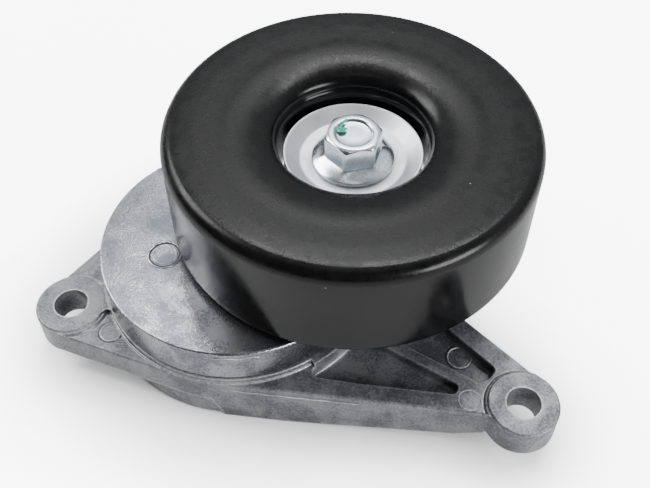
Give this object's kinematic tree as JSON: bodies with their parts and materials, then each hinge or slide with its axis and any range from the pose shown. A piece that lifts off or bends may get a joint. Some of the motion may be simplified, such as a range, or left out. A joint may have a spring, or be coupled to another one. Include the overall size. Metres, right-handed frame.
{
  "type": "belt tensioner idler",
  "caption": "Automatic belt tensioner: a flat steel idler pulley on a sprung arm that pivots on a die-cast bracket with mounting ears.",
  "frame": {"origin": "midway between the two mounting holes, on the plane of the ears' mounting faces", "axes": "+X from the left mounting hole to the right one, +Z out of the mounting plane towards the pulley's face, +Y from the mounting holes towards the pulley"},
  "size_m": [0.1428, 0.1078, 0.0603],
  "materials": {
    "cast_aluminium": "as-cast, fine mottled grain",
    "black_coat": "black electrocoat, semi-gloss",
    "zinc_plate": "zinc plate, satin",
    "bolt_zinc": "bright zinc plate",
    "bearing_steel": "ground and polished",
    "plain_steel": "machined",
    "spring_steel": "dark phosphate",
    "bush_bronze": "sintered bronze",
    "nylon": "moulded nylon",
    "seal_rubber": "moulded rubber"
  },
  "bodies": {
    "base": {"base_casting": "cast_aluminium", "torsion_spring": "spring_steel", "lower_spring_seat": "nylon", "upper_pivot_bush": "bush_bronze", "lower_pivot_bush": "bush_bronze"},
    "arm": {"arm_casting": "cast_aluminium", "upper_spring_seat": "nylon", "damper_shoe": "nylon", "damper_band": "plain_steel", "pivot_shaft": "plain_steel", "retaining_plate": "plain_steel", "bearing_inner_ring": "bearing_steel", "spacer_sleeve": "zinc_plate", "front_dust_cap": "zinc_plate", "rear_dust_shield": "zinc_plate", "pulley_bolt": "bolt_zinc"},
    "pulley": {"pulley_shell": "black_coat", "bearing_outer_ring": "bearing_steel", "front_bearing_seal": "seal_rubber", "rear_bearing_seal": "seal_rubber"},
    "cage": {"front_cage_half": "plain_steel", "rear_cage_half": "plain_steel", "cage_rivets": "plain_steel", "bearing_ball_1": "bearing_steel", "bearing_ball_2": "bearing_steel", "bearing_ball_3": "bearing_steel", "bearing_ball_4": "bearing_steel", "bearing_ball_5": "bearing_steel", "bearing_ball_6": "bearing_steel", "bearing_ball_7": "bearing_steel", "bearing_ball_8": "bearing_steel"}
  },
  "joints": [
    {"name": "arm_pivot", "type": "hinge", "parent": "base", "child": "arm", "pos_m": [-0.0214, 0.0241, 0], "axis": [0, 0, 1], "range_deg": [0, 30], "stiffness_Nm_per_rad": 8, "springref_deg": -14.32, "deforming": ["torsion_spring"]},
    {"name": "pulley_spin", "type": "hinge", "parent": "arm", "child": "pulley", "pos_m": [0.00586, 0.04391, 0.0335], "axis": [0, 0, 1], "continuous": true},
    {"name": "cage_spin", "type": "hinge", "parent": "arm", "child": "cage", "pos_m": [0.00586, 0.04391, 0.0335], "axis": [0, 0, 1], "continuous": true}
  ],
  "couplings": [
    {"joint": "cage_spin", "follows": "pulley_spin", "ratio": 0.6182}
  ]
}
